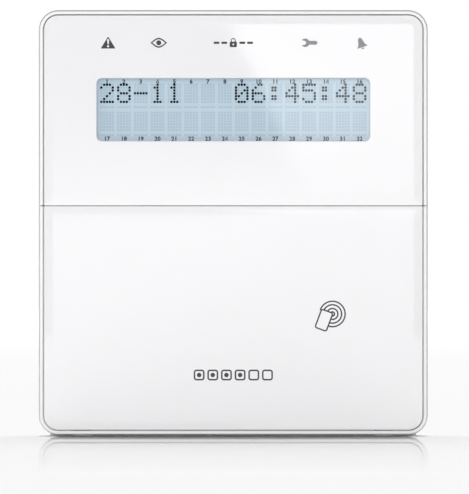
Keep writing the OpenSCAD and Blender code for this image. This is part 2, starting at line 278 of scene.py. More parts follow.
def glossy_sheet(name, colour):
    """Acrylic face sheet printed white at the back: clear gloss, faint waves and fine rub marks."""
    s = Surface(name)
    base = s.mottled(colour, 0.008, 40, 2)
    rubbed = s.spread(s.noise(0.5, 3, (1, 1, 0.06)), 0, 1, 0.62, 0.75)
    smear = s.spread(s.noise(25, 3), 0.015, 0.035)
    rough = s.math("ADD", smear, s.times(rubbed, 0.04))
    wave = s.bump(s.noise(9, 1), 0.0003)
    return s.shader(Base_Color=base, Roughness=rough, Normal=wave, IOR=1.5,
                    Coat_Weight=1.0, Coat_Roughness=0.012)


def clear_pane(name, tint):
    """Clear window: what is behind shows through, and its surfaces mirror as acrylic does."""
    s = Surface(name)
    tone = s.blend(s.noise(12, 2), *tones(tint, 0.006))
    through = s.feed(s.add("ShaderNodeBsdfTransparent"), Color=tone)
    rough = s.spread(s.noise(20, 3), 0.01, 0.025)
    mirror = s.feed(s.add("ShaderNodeBsdfAnisotropic"), Roughness=rough)
    s.feed(mirror, Normal=s.bump(s.noise(9, 1), 0.0003))
    mirrored = s.feed(s.add("ShaderNodeFresnel"), IOR=1.9).outputs[0]
    front = s.math("SUBTRACT", 1.0, s.add("ShaderNodeNewGeometry").outputs["Backfacing"])
    return s.mix(s.times(mirrored, front), through, mirror)


def display_glass(name, colour, glow=0.25):
    """Face of the liquid-crystal panel: a backlit grey-blue polariser, faintly clouded and grainy."""
    s = Surface(name)
    cloud = s.mottled(colour, 0.02, 16, 2)
    speck = s.blend(s.spread(s.noise(0.12, 2), 0, 0.3), cloud, [c * 0.93 for c in colour])
    rough = s.spread(s.noise(4, 2), 0.36, 0.46)
    unlit = s.blend(1 - glow, (0, 0, 0), speck)
    return s.shader(
        Base_Color=unlit,
        Roughness=rough,
        Normal=s.bump(s.noise(0.15, 2), 0.001),
        Emission_Color=speck,
        Emission_Strength=glow,
    )


def ink(name, colour, gloss=0.3):
    """Printed ink: a dense colour with a fine mesh from the printing screen."""
    s = Surface(name)
    base = s.mottled(colour, 0.08, 1.2, 3)
    rough = s.spread(s.noise(0.4, 2), 0.24, 0.36)
    normal = s.bump(s.noise(0.09, 1), 0.002)
    return s.shader(Base_Color=base, Roughness=rough, Normal=normal, Specular_IOR_Level=gloss)


def board_laminate(name):
    """Circuit board: green lacquer over copper tracks, with the weave of the laminate below."""
    s = Surface(name)
    laid = s.feed(s.add("ShaderNodeMapping"), Vector=s.place, Rotation=(math.pi / 2, 0, 0))
    cells = s.add("ShaderNodeTexBrick", offset=0.37)
    s.feed(cells, Vector=laid.outputs[0], Scale=1 / (2.2 * MM))
    s.feed(cells, Mortar_Size=0.05, Mortar_Smooth=0.3, Brick_Width=1.7, Row_Height=0.5)
    track = s.times(cells.outputs["Fac"], s.spread(s.noise(7, 1), 0, 1, 0.48, 0.5))
    lacquer = s.blend(s.spread(s.noise(8, 2), 0, 1), (0.012, 0.075, 0.03), (0.016, 0.095, 0.038))
    colour = s.blend(track, lacquer, (0.045, 0.19, 0.07))
    weave = s.feed(s.add("ShaderNodeTexWave", wave_type="BANDS"), Vector=s.place, Scale=1 / (2.4 * MM))
    height = s.math("ADD", s.times(weave.outputs[1], 0.2), track)
    rough = s.spread(s.noise(3, 2), 0.22, 0.34)
    return s.shader(Base_Color=colour, Roughness=rough, Normal=s.bump(height, 0.02))


def wound_wire(name, colour, centre):
    """Enamelled copper wire wound round a centre: fine rings in the colour and the relief."""
    s = Surface(name)
    offset = s.feed(s.add("ShaderNodeMapping"), Vector=s.place, Location=-centre)
    rings = s.add("ShaderNodeTexWave", wave_type="RINGS", rings_direction="Y")
    s.feed(rings, Vector=offset.outputs[0], Scale=1 / (2.2 * MM), Distortion=0.3)
    return s.shader(
        Base_Color=s.blend(rings.outputs[1], *tones(colour, 0.25)),
        Roughness=s.spread(s.noise(2, 2), 0.22, 0.34),
        Normal=s.bump(rings.outputs[1], 0.06),
        Metallic=0.85,
        Coat_Weight=0.6,
    )


M = {
    "case": moulded("case_plastic", (0.87, 0.87, 0.87), 0.34,
                    tint=0.006, depth=0.001, wear=0.06, uneven=0.05),
    "sheet": glossy_sheet("gloss_sheet", (0.84, 0.837, 0.85)),
    "plate": moulded("back_plastic", (0.72, 0.72, 0.725), 0.48, tint=0.012, grain=0.5, depth=0.012),
    "pane": clear_pane("clear_window", (0.985, 0.99, 0.99)),
    "panel": display_glass("display_glass", (0.6, 0.722, 0.815)),
    "dot": ink("display_dot", (0.003, 0.009, 0.018), 0.03),
    "dot_off": display_glass("display_dot_off", (0.49, 0.61, 0.71)),
    "number": ink("display_number", (0.02, 0.028, 0.05), 0.05),
    "ink": ink("dark_ink", (0.062, 0.062, 0.066)),
    # lighter grey ink for the wrench and bell: a painted reflection of the glare that lies over them
    "grey_ink": ink("grey_ink", (0.27, 0.27, 0.275)),
    "key": moulded("key_plastic", (0.74, 0.74, 0.74), 0.42, tint=0.01, grain=0.25),
    "legend": ink("key_legend", (0.03, 0.03, 0.034)),
    "mat": moulded("silicone", (0.46, 0.46, 0.46), 0.55, tint=0.03, grain=0.6, depth=0.01, Sheen_Weight=0.2),
    "guide": moulded("light_guide", (0.86, 0.87, 0.88), 0.22,
                     grain=1.5, depth=0.003, Transmission_Weight=0.35),
    "bezel": metal("bezel_steel", (0.16, 0.16, 0.165), 0.4, (0.1, 1, 1)),
    "foam": moulded("foam", (0.03, 0.032, 0.035), 0.9, tint=0.25, grain=0.3, depth=0.12, wear=0.1),
    "board": board_laminate("circuit_board"),
    "black": moulded("black_plastic", (0.016, 0.016, 0.017), 0.42, tint=0.12, grain=0.3, depth=0.008),
    "led": moulded("led_resin", (0.78, 0.76, 0.62), 0.25, tint=0.04, grain=0.5, Subsurface_Weight=0.1),
    "coil": wound_wire("copper_wire", (0.62, 0.27, 0.10), FACE @ Vector(middle("reader_coil"))),
    "terminal": moulded("terminal_plastic", (0.03, 0.26, 0.08), 0.4, tint=0.05, grain=0.3, depth=0.006),
    "zinc": metal("zinc_steel", (0.62, 0.62, 0.60), 0.3),
    "can": metal("can_aluminium", (0.72, 0.72, 0.73), 0.3, (1, 0.08, 1)),
    "spring": metal("spring_steel", (0.55, 0.55, 0.54), 0.25, (1, 0.3, 1)),
}


# ---- Mesh building ----

CORNER_STEPS = 12
ROUND_STEPS = 5
QUARTER = math.pi / 2
FULL = 2 * math.pi


def circle(cx, cy, r, steps=48):
    """Closed outline of a circle."""
    return arc(cx, cy, r, 0, FULL * (1 - 1 / steps), steps - 1)


def arc(cx, cy, r, start, end, steps):
    """Points along an arc, both ends included."""
    angles = [start + (end - start) * i / steps for i in range(steps + 1)]
    return [(cx + r * math.cos(a), cy + r * math.sin(a)) for a in angles]


def rounded(x0, y0, x1, y1, r, r_low=None):
    """Outline of a rectangle with round corners; r_low rounds the two low corners."""
    low = r if r_low is None else r_low
    return (
        arc(x1 - low, y0 + low, low, -QUARTER, 0, CORNER_STEPS)
        + arc(x1 - r, y1 - r, r, 0, QUARTER, CORNER_STEPS)
        + arc(x0 + r, y1 - r, r, QUARTER, 2 * QUARTER, CORNER_STEPS)
        + arc(x0 + low, y0 + low, low, 2 * QUARTER, 3 * QUARTER, CORNER_STEPS)
    )


def centred(cx, cy, w, h, r):
    """Outline of a rectangle with round corners round a centre."""
    return rounded(cx - w / 2, cy - h / 2, cx + w / 2, cy + h / 2, r)


def case_outline(inset):
    """The case's outline, set in."""
    return rounded(-SIDE + inset, -TOP + inset, SIDE - inset, TOP - inset, CORNER_R - inset)


def case_body(back):
    """Solid of the case's outline up to its front, where its wall leans in and rounds over."""
    profile = edge_profile(back, FRONT, 0.3, FRONT_R)
    half = len(profile) // 2
    wall = [(0, FRONT - LEAN_D * k) for k in (1, 0.75, 0.5, 0.25)]
    rings = []
    for inset, d in profile[:half] + wall + profile[half:]:
        lean = LEAN * max(1 - (FRONT - d) / LEAN_D, 0) ** 2
        rings.append(level(case_outline(inset + lean), d))
    return loft(rings)


def level(outline, d):
    """An outline as a ring of points at a distance from the wall."""
    return [(x, y, d) for x, y in outline]


def edge_profile(back, front, back_r, front_r):
    """(inset, d) pairs from a back face to a front face, with both edges rounded."""
    steps = [i / ROUND_STEPS * QUARTER for i in range(ROUND_STEPS + 1)]
    low = [(back_r * (1 - math.sin(a)), back + back_r * (1 - math.cos(a))) for a in steps]
    high = [(front_r * (1 - math.cos(a)), front - front_r * (1 - math.sin(a))) for a in steps]
    return low + high


def finished(bm):
    """The mesh that was being built."""
    mesh = bpy.data.meshes.new("built")
    bm.to_mesh(mesh)
    bm.free()
    return mesh


def loft(rings):
    """Closed mesh through rings of points, flat at both ends, in the face frame."""
    bm = bmesh.new()
    loops = [[bm.verts.new(point) for point in ring] for ring in rings]
    for low, high in zip(loops, loops[1:]):
        for i, vertex in enumerate(low):
            j = (i + 1) % len(low)
            bm.faces.new((vertex, low[j], high[j], high[i]))
    bm.faces.new(loops[0][::-1])
    bm.faces.new(loops[-1])
    bmesh.ops.recalc_face_normals(bm, faces=bm.faces[:])
    return finished(bm)


def prism(outline, back, front):
    """Straight-sided body of an outline between two levels."""
    return loft([level(outline, back), level(outline, front)])


def block(low, high):
    """Box between two corners, for cutting."""
    (x0, y0, d0), (x1, y1, d1) = low, high
    return prism([(x0, y0), (x1, y0), (x1, y1), (x0, y1)], d0, d1)


def rod_x(y, d, r, x0, x1, steps=72):
    """Rod along x."""
    ring = circle(0, 0, r, steps)
    return loft([[(x, y + a, d + b) for a, b in ring] for x in (x0, x1)])


def rod_y(x, d, r, y0, y1, steps=36):
    """Rod along y."""
    ring = circle(0, 0, r, steps)
    return loft([[(x + a, y, d + b) for a, b in ring] for y in (y0, y1)])


def evaluated(obj):
    """The object's mesh with its modifiers, as a mesh of its own; the object goes."""
    depsgraph = bpy.context.evaluated_depsgraph_get()
    mesh = bpy.data.meshes.new_from_object(obj.evaluated_get(depsgraph))
    bpy.data.objects.remove(obj)
    return mesh


def combined(mesh, tools, operation):
    """A mesh cut by, or joined with, other meshes."""
    obj = shown("body", mesh)
    others = [shown("tool", tool) for tool in tools]
    for other in others:
        modifier = obj.modifiers.new("combine", "BOOLEAN")
        modifier.operation = operation
        modifier.solver = "EXACT"
        modifier.object = other
    result = evaluated(obj)
    for other in others:
        bpy.data.objects.remove(other)
    return result


def cut(mesh, *tools):
    """A mesh without the parts inside the tools."""
    return combined(mesh, tools, "DIFFERENCE")


def joined(mesh, *tools):
    """A mesh with the tools added."""
    return combined(mesh, tools, "UNION")


def gathered(*meshes):
    """Separate bodies as one mesh."""
    bm = bmesh.new()
    for mesh in meshes:
        bm.from_mesh(mesh)
    return finished(bm)


EASE_ANGLE = math.radians(35)  # edges that turn by more than this are rounded
SHARP_ANGLE = math.radians(50)


def eased(mesh, width):
    """A mesh with its sharp edges rounded a little."""
    obj = shown("body", mesh)
    mesh.shade_smooth()
    modifier = obj.modifiers.new("ease", "BEVEL")
    modifier.width = width
    modifier.segments = 2
    modifier.limit_method = "ANGLE"
    modifier.angle_limit = EASE_ANGLE
    softened = evaluated(obj)
    softened.set_sharp_from_angle(angle=SHARP_ANGLE)
    return level_faces(softened)


def level_faces(mesh):
    """A smooth-shaded mesh whose large flat faces are shaded flat up to their rounded edges."""
    obj = shown("body", mesh)
    modifier = obj.modifiers.new("level", "WEIGHTED_NORMAL")
    modifier.keep_sharp = True
    modifier.weight = 50
    return evaluated(obj)


def piece(name, mesh, material, body, slot, *nodes):
    """A mesh of the face frame as a named piece that rides on a body and stands for CAD nodes."""
    mesh.transform(FACE)
    mesh.name = name
    mesh.materials.clear()
    for each in material if isinstance(material, list) else [material]:
        mesh.materials.append(M[each])
    obj = shown(name, mesh)
    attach(obj, body)
    if nodes:
        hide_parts(*nodes)
    return obj


def smooth(mesh, angle=30):
    """Smooth shading with sharp edges kept."""
    mesh.shade_smooth()
    mesh.set_sharp_from_angle(angle=math.radians(angle))
    return level_faces(mesh)


def flat(loops, back):
    """Printed body of a flat shape bounded by closed loops, with its holes."""
    curve = bpy.data.curves.new("flat", "CURVE")
    curve.dimensions = "2D"
    curve.fill_mode = "BOTH"
    curve.extrude = PRINT / 2
    for loop in loops:
        spline = curve.splines.new("POLY")
        spline.points.add(len(loop) - 1)
        for point, (x, y) in zip(spline.points, loop):
            point.co = (x, y, 0, 1)
        spline.use_cyclic_u = True
    mesh = evaluated(shown("curve", curve))
    mesh.transform(Matrix.Translation((0, 0, back + PRINT / 2)))
    return mesh


FOUR_W = 0.69
FOUR = (  # outline and counter of the figure four, in parts of its height
    ((0.43, 0), (0.57, 0), (0.57, 0.17), (0.69, 0.17), (0.69, 0.29), (0.57, 0.29), (0.57, 1), (0.41, 1),
     (0, 0.29), (0, 0.17), (0.43, 0.17)),
    ((0.43, 0.29), (0.43, 0.76), (0.16, 0.29)),
)


def four(x, y, height, back):
    """The figure four, centred on a point."""
    return flat([[(x + (a - FOUR_W / 2) * height, y + (b - 0.5) * height) for a, b in loop]
                 for loop in FOUR], back)


def number(text, x, y, height, back, weight=0.012):
    """Digits of the built-in typeface, centred on a point."""
    curve = bpy.data.curves.new("number", "FONT")
    curve.body = text
    curve.align_x = "CENTER"
    curve.extrude = PRINT / 2
    curve.resolution_u = 6
    curve.offset = weight
    mesh = evaluated(shown("curve", curve))
    ys = [v.co.y for v in mesh.vertices]
    xs = [v.co.x for v in mesh.vertices]
    scale = height / (max(ys) - min(ys))
    shift = Matrix.Translation((x, y, back + PRINT / 2))
    size = Matrix.Diagonal((scale, scale, 1, 1))
    home = Matrix.Translation((-(min(xs) + max(xs)) / 2, -(min(ys) + max(ys)) / 2, 0))
    mesh.transform(shift @ size @ home)
    return mesh


def turned(loop, angle, cx=0, cy=0):
    """A loop turned about the origin, then moved."""
    c, s = math.cos(angle), math.sin(angle)
    return [(cx + x * c - y * s, cy + x * s + y * c) for x, y in loop]


# ---- Case and glossy sheets ----

GROOVE = 1.5  # depth of the channel round the sheets, below their backs
CHANNEL = 0.5  # width of that channel
PAD_X = SIDE - RIM - CHANNEL
PAD_Y = TOP - RIM - CHANNEL
PAD_R = CORNER_R - RIM - CHANNEL
PAST = 1.0  # how far a cutter reaches past what it cuts
SINK = 0.4  # how far a post reaches into the wall that carries it
LUG_R = 1.6
LUG_X = (46, 51)
LUG_GAP = 0.4
LUG_FOOT = DECK_BACK + 0.6
POSTS = ((50, 58.5), (53, 11), (53.5, -53))  # screw posts of the right half
POST_R = 2.8
POST_BACK = 11.2
KEY_HOLE = (20.2, 10.4, 1.8)  # width, height and corner radius
WINDOW_HOLE = (90.4, 22.7, 1.5)
GUIDE_R = 3.1
SLOT_YS = [-40 + 3.4 * i for i in range(6)]  # lower edges of the sound slots
SLOT_H = 1.2
SLOT_DS = (7.5, 13)
SCREW_D = 6
SCREW_R = 1.7
SEAT_R = 3.1
SEAT_DEPTH = 1.2


def lug(side):
    """Ear that carries a hinge pin on one side: a rod on a neck from the deck."""
    profile = arc(HINGE_Y, HINGE_D, LUG_R, 0, 1.15 * math.pi, 20)
    profile += [(HINGE_Y - 1.4, HINGE_D - 2), (HINGE_Y - 1.2, LUG_FOOT), (HINGE_Y + LUG_R, LUG_FOOT)]
    return loft([[(x, y, d) for y, d in profile] for x in sorted(side * x for x in LUG_X)])


def pocket(low_y, high_y, r_low, r_high, floor_d):
    """Cutter for a sheet's pocket, with a small slope round its mouth."""
    x = SIDE - RIM
    rings = []
    for grow, d in ((0, floor_d), (0, FRONT - MOUTH), (MOUTH, FRONT), (MOUTH + PAST, FRONT + PAST)):
        outline = rounded(-x - grow, low_y - grow, x + grow, high_y + grow, r_high + grow, r_low + grow)
        rings.append(level(outline, d))
    return loft(rings)


def case_shell():
    """Front housing: rim and walls, pocket for the sheet, key deck, hinge groove and ears."""
    low, high = CASE_BACK - PAST, SHEET_BACK + PAST
    upper_room = rounded(WALL - SIDE, SEAM_HIGH + WALL, SIDE - WALL, TOP - WALL, CORNER_R - WALL, 0.5)
    shell = cut(
        case_body(CASE_BACK),
        block((-SIDE - PAST, -TOP - PAST, DECK), (SIDE + PAST, SEAM_HIGH, FRONT + PAST)),
        prism(case_outline(WALL), low, DECK_BACK),
        prism(upper_room, low, FACE_BACK),
        pocket(SEAM_HIGH - PAST, TOP - RIM, 0.05, CORNER_R - RIM, SHEET_BACK - GROOVE),
        rod_x(HINGE_Y, HINGE_D, SWEEP_R, -SIDE - PAST, SIDE + PAST, 120),
    )
    pad = rounded(-PAD_X, SEAM_HIGH, PAD_X, PAD_Y, PAD_R, 0.1)
    posts = [prism(circle(x * side, y, POST_R, 24), POST_BACK, (DECK_BACK if y < 0 else FACE_BACK) + SINK)
             for side in (-1, 1) for x, y in POSTS]
    shell = joined(
        shell,
        prism(pad, SHEET_BACK - GROOVE - 0.1, SHEET_BACK),
        lug(-1),
        lug(1),
        *posts,
    )
    keys = [prism(centred(*middle(k)[:2], *KEY_HOLE), DECK_BACK - PAST, DECK + PAST) for k in KEYS]
    guides = [prism(circle(x, SYMBOL_Y, GUIDE_R), FACE_BACK - PAST, high) for x in SYMBOL_XS]
    slots = [prism(rounded(-SIDE - PAST, y, -SIDE + WALL + PAST, y + SLOT_H, 0.1), *SLOT_DS)
             for y in SLOT_YS]
    shell = cut(
        shell,
        gathered(*keys, *guides),
        gathered(*slots),
        prism(centred(0, WINDOW_Y, *WINDOW_HOLE), FACE_BACK - PAST, high),
        rod_y(0, SCREW_D, SEAT_R, -TOP - PAST, -TOP + SEAT_DEPTH),
        rod_y(0, SCREW_D, SCREW_R, -TOP, -TOP + WALL + PAST),
    )
    piece("case_shell", eased(shell, 0.16), "case", "housing", "case_plastic", "front_housing")


CROWN_W = 3.0  # width along the sheets' edges over which they curve back
CROWN_H = 0.05
SEAM_EASE = 0.06  # how far each sheet stands over its edge of the seam
BEVEL = 0.2  # slope round the window's opening


def sheet(low_y, high_y, back, r_high, r_low):
    """Body of a glossy sheet with a softly rounded front edge."""
    x = SIDE - SHEET_INSET
    rings = []
    crown = [(0.2 + CROWN_W * k, SKIN - CROWN_H * (1 - k) ** 2) for k in (0.2, 0.4, 0.6, 0.8, 1)]
    for inset, d in edge_profile(back, SKIN - CROWN_H, 0.05, 0.2) + crown:
        r1, r0 = (max(r - inset, 0.1) for r in (r_high, r_low))
        outline = rounded(-x + inset, low_y + inset, x - inset, high_y - inset, r1, r0)
        rings.append(level(outline, d))
    return loft(rings)


def face_sheets():
    """Upper sheet round the display, and the sheet on the flap."""
    r = CORNER_R - SHEET_INSET
    upper = sheet(SEAM_HIGH - SEAM_EASE, TOP - SHEET_INSET, SHEET_BACK, r, 0.4)
    rings = []
    for grow, d in ((-BEVEL, SHEET_BACK - PAST), (-BEVEL, SKIN - BEVEL), (0, SKIN), (PAST, SKIN + PAST)):
        w, h = WINDOW_W + 2 * grow, WINDOW_H + 2 * grow
        rings.append(level(centred(0, WINDOW_Y, w, h, WINDOW_R + grow), d))
    upper = cut(upper, loft(rings))
    piece("face_sheet", eased(upper, 0.05), "sheet", "housing", "gloss_sheet", "upper_fascia")
    lower = sheet(-TOP + SHEET_INSET, SEAM_LOW + SEAM_EASE, FLAP_SHEET_BACK, 0.4, r)
    piece("flap_sheet", eased(lower, 0.04), "sheet", "flap", "gloss_sheet", "flap_fascia")


BARREL_X = 59
HOLLOW_Y = HINGE_Y + BARREL_R + 1.4  # foot of the hollow behind the flap's front wall
NOTCH_Y = HINGE_Y + BARREL_R + 1.9


def flap_shell():
    """Flap: a hollow lid with a rim round its sheet, a hinge barrel and notches for the ears."""
    shell = case_body(FLAP_BACK)
    shell = cut(shell, block((-SIDE - PAST, SEAM_LOW, 0), (SIDE + PAST, TOP + PAST, FRONT + PAST)))
    shell = joined(shell, rod_x(HINGE_Y, HINGE_D, BARREL_R - 0.01, -BARREL_X, BARREL_X, 96))
    shell = cut(
        shell,
        prism(rounded(-SIDE + WALL, HOLLOW_Y, SIDE - WALL, SEAM_LOW - 1.6, 0.8), 10, FLAP_SKIN),
        pocket(-TOP + RIM, SEAM_LOW + PAST, CORNER_R - RIM, 0.05, FLAP_SHEET_BACK - GROOVE),
    )
    pad = rounded(-PAD_X, -PAD_Y, PAD_X, SEAM_LOW, 0.1, PAD_R)
    shell = joined(shell, prism(pad, FLAP_SHEET_BACK - GROOVE - 0.1, FLAP_SHEET_BACK))
    notches = []
    for side in (-1, 1):
        x0, x1 = sorted((side * (LUG_X[0] - LUG_GAP), side * (LUG_X[1] + LUG_GAP)))
        notches.append(block((x0, -TOP - PAST, HINGE_D - 4), (x1, NOTCH_Y, FLAP_SHEET_BACK)))
    shell = cut(shell, gathered(*notches))
    piece("flap_shell", eased(shell, 0.14), "case", "flap", "case_plastic", "flap_panel")


# ---- Display ----

PANE_GAP = 0.33  # between the pane and its opening
CELL_PITCH = 5.43
DOT_PITCH = 0.922
DOT = 0.76
LINE_YS = (5.3, -3.75)  # middle of each line of characters, from the window's middle
CURSOR_DROP = 4.45  # from that middle down to the row for the cursor
NUMBER_YS = (9.1, -9.33)
NUMBER_H = 1.42
NUMBER_PITCH = 1.0
NUMBER_WEIGHT = 0.035
DIGIT_DOTS = {
    "0": ".###. #...# #..## #.#.# ##..# #...# .###.",
    "1": "..#.. .##.. ..#.. ..#.. ..#.. ..#.. .###.",
    "2": ".###. #...# ....# ...#. ..#.. .#... #####",
    "4": "...#. ..##. .#.#. #..#. ##### ...#. ...#.",
    "5": "##### #.... ####. ....# ....# #...# .###.",
    "6": "..##. .#... #.... ####. #...# #...# .###.",
    "8": ".###. #...# #...# .###. #...# #...# .###.",
    "-": "..... ..... ..... ##### ..... ..... .....",
    ":": "..... .##.. .##.. ..... .##.. .##.. .....",
    " ": "..... " * 7,
}
DISPLAY_TEXT = ("28-11   06:45:48", " " * 16)


def window_pane():
    """Clear pane in the face sheet's opening, a hair smaller than the opening."""
    rings = []
    for inset, d in edge_profile(SHEET_BACK, SKIN, 0.05, 0.15):
        gap = PANE_GAP + inset
        w, h = WINDOW_W - 2 * gap, WINDOW_H - 2 * gap
        rings.append(level(centred(0, WINDOW_Y, w, h, WINDOW_R - gap), d))
    piece("display_window", smooth(loft(rings)), "pane", "housing", "clear_window", "lcd_window")


def display_dots(front):
    """Dots of every character cell, sorted into lit and unlit, as (x, y) places."""
    lit, unlit = [], []
    for line_y, text in zip(LINE_YS, DISPLAY_TEXT):
        for column, letter in enumerate(text):
            cx = (column - 7.5) * CELL_PITCH
            rows = DIGIT_DOTS[letter].split()
            for r, row in enumerate(rows):
                y = WINDOW_Y + line_y + (3 - r) * DOT_PITCH
                for c, mark in enumerate(row):
                    (lit if mark == "#" else unlit).append((cx + (c - 2) * DOT_PITCH, y))
            y = WINDOW_Y + line_y - CURSOR_DROP
            unlit += [(cx + c * DOT_PITCH, y) for c in range(-2, 3)]
    return lit, unlit


def squares(places, size, back):
    """Thin squares with clipped corners at many places, as one mesh."""
    bm = bmesh.new()
    half = size / 2
    clip = half * 0.72
    ring = [(half, -clip), (half, clip), (clip, half), (-clip, half),
            (-half, clip), (-half, -clip), (-clip, -half), (clip, -half)]
    for x, y in places:
        low = [bm.verts.new((x + a, y + b, back)) for a, b in ring]
        high = [bm.verts.new((x + a, y + b, back + PRINT)) for a, b in ring]
        bm.faces.new(high)
        bm.faces.new(low[::-1])
        for i in range(len(ring)):
            j = (i + 1) % len(ring)
            bm.faces.new((low[i], low[j], high[j], high[i]))
    return finished(bm)


def zone_number(text, x, y, back):
    """Digits of a zone's number, side by side, centred on a point."""
    digits = []
    for i, digit in enumerate(text):
        place = (x + (i - (len(text) - 1) / 2) * NUMBER_PITCH, y, NUMBER_H, back)
        digits.append(four(*place) if digit == "4" else number(digit, *place, NUMBER_WEIGHT))
    return digits


def display_panel():
    """Liquid-crystal glass with its polariser, the dots in it and the printed zone numbers."""
    low, high = face_box("lcd_glass")
    front = high[2] - 2 * PRINT
    w, h = span("lcd_glass")
    cx, cy = middle("lcd_glass")[:2]
    glass = loft([level(centred(cx, cy, w - 2 * i, h - 2 * i, 0.6 - i), d)
                  for i, d in edge_profile(low[2], front, 0.1, 0.1)])
    piece("display_panel", smooth(glass), "panel", "housing", "lcd_panel", "lcd_glass")
    lit, unlit = display_dots(front)
    piece("display_dots", squares(lit, DOT, front), "dot", "housing", "black_plastic")
    piece("display_dots_off", squares(unlit, DOT, front), "dot_off", "housing", "lcd_panel")
    numbers = []
    for i in range(32):
        x = (i % 16 - 7.5) * CELL_PITCH
        y = WINDOW_Y + NUMBER_YS[i // 16]
        numbers += zone_number(str(i + 1), x, y, front + PRINT)
    piece("display_numbers", gathered(*numbers), "number", "housing", "black_plastic")


# ---- Printed marks ----


def placed(loops, cx, cy=SYMBOL_Y):
    """Loops moved to a place in the row of symbols."""
    return [[(x + cx, y + cy) for x, y in loop] for loop in loops]


def warning_loops():
    """Triangle with an exclamation mark."""
    half = [(2.2, -1.85), (2.32, -1.75), (0.13, 1.82)]
    triangle = half + [(0, 1.9)] + [(-x, y) for x, y in half[::-1]]
    bar = arc(0, 0.85, 0.34, 0, math.pi, 10) + arc(0, -0.35, 0.2, math.pi, FULL, 8)
    return [triangle, bar, circle(0, -1.12, 0.36, 20)]


def eye_loops():
    """Eye: a lens-shaped outline round a pupil."""
    def lens(w, h):
        xs = [-w + 2 * w * i / 24 for i in range(25)]
        top = [(x, h * max(math.cos(QUARTER * x / w), 0) ** 1.15) for x in xs]
        return top + [(x, -y) for x, y in top[-2:0:-1]]
    return [lens(2.72, 1.6), lens(2.1, 1.12), circle(0, 0, 0.8, 28)]


def wrench_loops():
    """Open-ended wrench with its jaw to the left."""
    jaw = math.radians(142)
    neck = math.radians(27)
    head = arc(-1.42, 0, 1.38, jaw, neck, 24)
    mouth = arc(-1.75, 0, 0.6, -QUARTER, QUARTER, 12)
    handle = arc(1.9, 0, 0.62, QUARTER, -QUARTER, 12)
    foot = [(x, -y) for x, y in head[::-1]]
    return [head + handle + foot + mouth]


def bell_loops():
    """Bell that leans to the left, with its clapper."""
    half = [(0.0, 1.62), (0.28, 1.55), (0.5, 1.3), (0.72, 0.85), (0.86, 0.3), (1.0, -0.35), (1.18, -0.85),
            (1.5, -1.2), (1.68, -1.42), (1.62, -1.6)]
    body = half + [(-x, y) for x, y in half[:0:-1]]
    lean = math.radians(19)
    clapper = [(0.5 * x, 0.22 * y - 1.98) for x, y in circle(0, 0, 1, 20)]
    return [turned(body, lean), turned(clapper, lean)]


def padlock_loops():
    """Padlock between short bars, where a maker would put its mark."""
    body = centred(0, -0.52, 2.3, 1.75, 0.3)
    hole = circle(0, -0.5, 0.3, 20)
    legs = [(0.78, 0.35), (0.78, 0.72)]
    shackle = legs + arc(0, 0.72, 0.78, 0, math.pi, 16) + [(-0.78, 0.35), (-0.5, 0.35)]
    shackle += arc(0, 0.72, 0.5, math.pi, 0, 16) + [(0.5, 0.35)]
    bars = [centred(side * x, 0, 1.9, 0.72, 0.3) for side in (-1, 1) for x in (2.9, 5.4)]
    return [body, hole, shackle, *bars]


def status_marks():
    """Symbols over the display: warning and eye in dark ink, wrench and bell in a lighter grey ink that
    paints in the glare's reflection over them.
    """
    warning_x, eye_x, wrench_x, bell_x = SYMBOL_XS
    dark = placed(warning_loops(), warning_x + 0.08)
    dark += placed(eye_loops(), eye_x)
    dark += placed(padlock_loops(), 0)
    # the wrench and bell take the lighter ink, a painted reflection of the glare over them
    grey = placed(wrench_loops(), wrench_x)
    grey += placed(bell_loops(), bell_x - 0.1, SYMBOL_Y + 0.1)
    piece("status_symbols", flat(dark, SKIN), "ink", "housing", "black_plastic")
    piece("status_symbols_painted_glare", flat(grey, SKIN), "grey_ink", "housing", "black_plastic")


READER_X = 31.92
READER_Y = -29.44
STROKE = 0.46
READER_ARCS = (  # radius, and the degrees at which each wave starts and ends
    (4.1, 163, -106), (2.97, 152, -106), (1.76, 150, -100), (0.68, 122, -92),
)
CARD_X = 29.2
CARD_Y = -31.45
CARD_LEAN = math.radians(-20.5)


def reader_mark():
    """Card-reader symbol on the flap: waves round a point, with a leaning card over them."""
    waves = []
    for r, start, end in READER_ARCS:
        a0, a1 = math.radians(start), math.radians(end)
        outer = arc(READER_X, READER_Y, r + STROKE / 2, a0, a1, 40)
        inner = arc(READER_X, READER_Y, r - STROKE / 2, a1, a0, 40)
        waves.append(outer + inner)
    card = [turned(centred(0, 0, 3.84 + k * STROKE, 6.2 + k * STROKE, 0.62 + k * STROKE / 2),
                   CARD_LEAN, CARD_X, CARD_Y) for k in (1, -1)]
    return gathered(flat(waves, SKIN), flat(card, SKIN))


CODE_Y = -49.1
CODE_BOX = 3.5
CODE_PITCH = 4.4


def code_mark():
    """Generic mark low on the flap: six boxes of a code, with dots in the first four."""
    loops = []
    for i in range(6):
        x = (i - 2.5) * CODE_PITCH
        loops += [centred(x, CODE_Y, CODE_BOX - k, CODE_BOX - k, 0.9 - k / 2) for k in (0, 1.0)]
        if i < 4:
            loops.append(circle(x, CODE_Y, 0.72, 28))
    return flat(loops, SKIN)


def flap_marks():
    """Marks printed on the flap's sheet."""
    piece("reader_symbol", reader_mark(), "ink", "flap", "black_plastic")
    piece("code_symbol", code_mark(), "ink", "flap", "black_plastic")


# ---- Keys and mat ----

KEY_LEGENDS = {"key_star": "*", "key_hash": "#"}
ARROW_TURNS = {"key_up": 0, "key_left": 90, "key_down": 180, "key_right": 270}
LEGEND_H = 4.6
SIGN_SHARE = {"*": 0.62, "#": 0.85}  # height of the signs, in parts of the digits' height
FLANGE = 1.0  # a key's flange stands out by this much, and is as thick
FLANGE_R = 1.8
CAP_R = 1.5
CAP_EDGE = 0.6  # rounding of the cap's front edge
CAP_DRAFT = 0.06
DISH = 0.2  # depth of the sunk field


